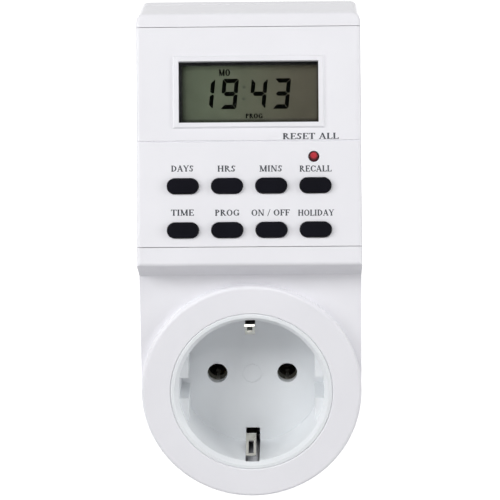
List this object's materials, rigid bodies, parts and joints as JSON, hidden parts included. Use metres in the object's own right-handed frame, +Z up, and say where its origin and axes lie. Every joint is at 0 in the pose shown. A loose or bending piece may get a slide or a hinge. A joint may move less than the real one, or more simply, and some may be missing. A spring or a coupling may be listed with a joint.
{
  "type": "plug in timer switch",
  "caption": "Plug-in digital timer: earthed round plug at the back, earthed round socket at the front, and a sloped panel with display window, oblong keys and a red reset button above it",
  "frame": {"origin": "midway between the two plug pins, on the housing's rear face", "axes": "+Z up along the housing, +Y towards the wall along the plug pins, +X to the right seen from the front"},
  "size_m": [0.0584, 0.0782, 0.1284],
  "materials": {
    "white_plastic": "fine satin moulding",
    "inner_plastic": "plain moulding",
    "pin_metal": "nickel plated",
    "brass": "stamped",
    "earth_metal": "nickel plated spring strip",
    "clear_plastic": "clear polished",
    "gasket_foam": "foam",
    "lcd_glass": "polished",
    "reflector_film": "satin film",
    "zebra_rubber": "soft",
    "board_laminate": "solder resist",
    "chip_epoxy": "moulded epoxy",
    "can_metal": "bright can",
    "mat_rubber": "silicone",
    "key_black": "satin",
    "reset_red": "gloss",
    "switch_black": "plain",
    "relay_case": "plain",
    "capacitor_yellow": "plain",
    "capacitor_sleeve": "shrink sleeve",
    "varistor_blue": "dipped",
    "fuse_body": "glass tube",
    "resistor_body": "lacquered",
    "diode_body": "moulded",
    "cable_grey": "flat cable",
    "screw_steel": "zinc plated"
  },
  "bodies": {
    "housing": {"front_shell": "white_plastic", "rear_shell": "white_plastic", "control_panel": "white_plastic", "socket_well": "white_plastic", "plug_body": "white_plastic", "contact_carrier": "inner_plastic", "display_holder": "inner_plastic", "link_header": "inner_plastic", "plug_pin_left": "pin_metal", "plug_pin_right": "pin_metal", "neutral_busbar": "brass", "line_busbar": "brass", "neutral_contact": "brass", "line_contact": "brass", "earth_bracket": "earth_metal", "display_window": "clear_plastic", "display_gasket": "gasket_foam", "lcd_cell": "lcd_glass", "lcd_reflector": "reflector_film", "zebra_strip": "zebra_rubber", "display_board": "board_laminate", "main_board": "board_laminate", "clock_chip": "chip_epoxy", "bridge_rectifier": "chip_epoxy", "driver_transistor": "chip_epoxy", "quartz_crystal": "can_metal", "backup_battery": "can_metal", "battery_tabs": "can_metal", "keypad_mat": "mat_rubber", "reset_switch": "switch_black", "relay": "relay_case", "mains_capacitor": "capacitor_yellow", "smoothing_capacitor": "capacitor_sleeve", "varistor": "varistor_blue", "fuse_link": "fuse_body", "resistors": "resistor_body", "diodes": "diode_body", "link_cable": "cable_grey", "case_screws": "screw_steel", "display_board_screws": "screw_steel", "main_board_screws": "screw_steel", "carrier_screws": "screw_steel"},
    "days_key": {"days_key": "key_black"},
    "hours_key": {"hours_key": "key_black"},
    "minutes_key": {"minutes_key": "key_black"},
    "recall_key": {"recall_key": "key_black"},
    "clock_key": {"clock_key": "key_black"},
    "program_key": {"program_key": "key_black"},
    "mode_key": {"mode_key": "key_black"},
    "holiday_key": {"holiday_key": "key_black"},
    "reset_button": {"reset_button": "reset_red"},
    "earth_clip_top": {"earth_clip_top": "earth_metal"},
    "earth_clip_bottom": {"earth_clip_bottom": "earth_metal"}
  },
  "joints": [
    {"name": "days_press", "type": "slide", "parent": "housing", "child": "days_key", "axis": [0, 0.9563, -0.2924], "range_m": [0, 0.0007], "stiffness_N_per_m": 1500, "springref_m": -0.0003},
    {"name": "hours_press", "type": "slide", "parent": "housing", "child": "hours_key", "axis": [0, 0.9563, -0.2924], "range_m": [0, 0.0007], "stiffness_N_per_m": 1500, "springref_m": -0.0003},
    {"name": "minutes_press", "type": "slide", "parent": "housing", "child": "minutes_key", "axis": [0, 0.9563, -0.2924], "range_m": [0, 0.0007], "stiffness_N_per_m": 1500, "springref_m": -0.0003},
    {"name": "recall_press", "type": "slide", "parent": "housing", "child": "recall_key", "axis": [0, 0.9563, -0.2924], "range_m": [0, 0.0007], "stiffness_N_per_m": 1500, "springref_m": -0.0003},
    {"name": "clock_press", "type": "slide", "parent": "housing", "child": "clock_key", "axis": [0, 0.9563, -0.2924], "range_m": [0, 0.0007], "stiffness_N_per_m": 1500, "springref_m": -0.0003},
    {"name": "program_press", "type": "slide", "parent": "housing", "child": "program_key", "axis": [0, 0.9563, -0.2924], "range_m": [0, 0.0007], "stiffness_N_per_m": 1500, "springref_m": -0.0003},
    {"name": "mode_press", "type": "slide", "parent": "housing", "child": "mode_key", "axis": [0, 0.9563, -0.2924], "range_m": [0, 0.0007], "stiffness_N_per_m": 1500, "springref_m": -0.0003},
    {"name": "holiday_press", "type": "slide", "parent": "housing", "child": "holiday_key", "axis": [0, 0.9563, -0.2924], "range_m": [0, 0.0007], "stiffness_N_per_m": 1500, "springref_m": -0.0003},
    {"name": "reset_press", "type": "slide", "parent": "housing", "child": "reset_button", "axis": [0, 0.9563, -0.2924], "range_m": [0, 0.0005], "stiffness_N_per_m": 1200, "springref_m": -0.0003},
    {"name": "earth_clip_top_flex", "type": "hinge", "parent": "housing", "child": "earth_clip_top", "pos_m": [0, -0.01195, 0.0181], "axis": [-1, 0, 0], "range_deg": [0, 5], "stiffness_Nm_per_rad": 0.4},
    {"name": "earth_clip_bottom_flex", "type": "hinge", "parent": "housing", "child": "earth_clip_bottom", "pos_m": [0, -0.01195, -0.0181], "axis": [1, 0, 0], "range_deg": [0, 5], "stiffness_Nm_per_rad": 0.4}
  ]
}
